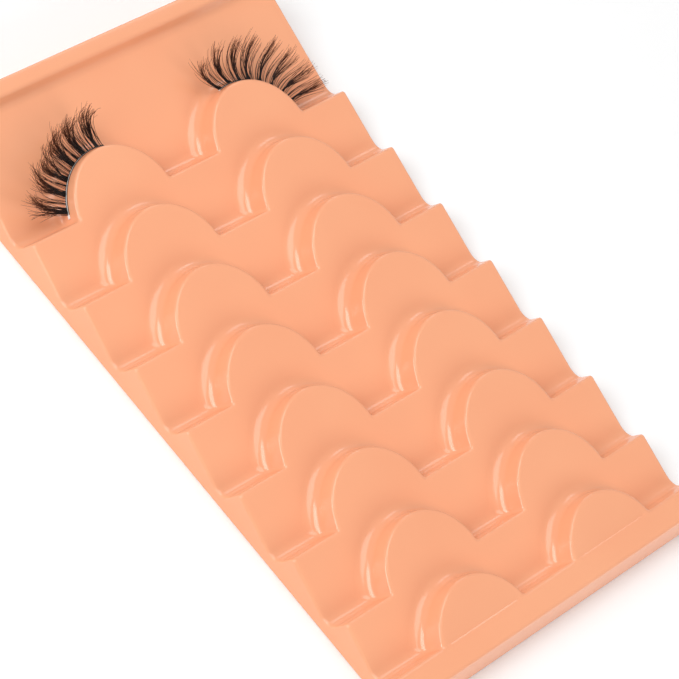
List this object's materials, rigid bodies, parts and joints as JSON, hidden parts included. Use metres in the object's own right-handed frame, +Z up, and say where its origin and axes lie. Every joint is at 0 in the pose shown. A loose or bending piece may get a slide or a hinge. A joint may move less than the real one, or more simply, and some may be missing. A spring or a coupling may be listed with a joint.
{
  "type": "false eyelash strips on a display tray",
  "caption": "Pair of false eyelash strips, hair locks on a clear curved band, laid on a stepped arched plastic display tray.",
  "frame": {"origin": "under the middle of the tray, on the surface that it stands on", "axes": "+Z up, +X across the tray to the right, +Y along the tray from the low rim to the header"},
  "size_m": [0.101, 0.1684, 0.0153],
  "materials": {
    "formed_plastic": "thermoformed satin-gloss peach plastic",
    "clear_film": "clear flexible band film",
    "lash_fibre": "black-brown heat-curled synthetic fibre"
  },
  "bodies": {
    "root": {"tray": "formed_plastic", "left_band": "clear_film", "right_band": "clear_film", "left_lashes": "lash_fibre", "right_lashes": "lash_fibre"}
  },
  "joints": []
}
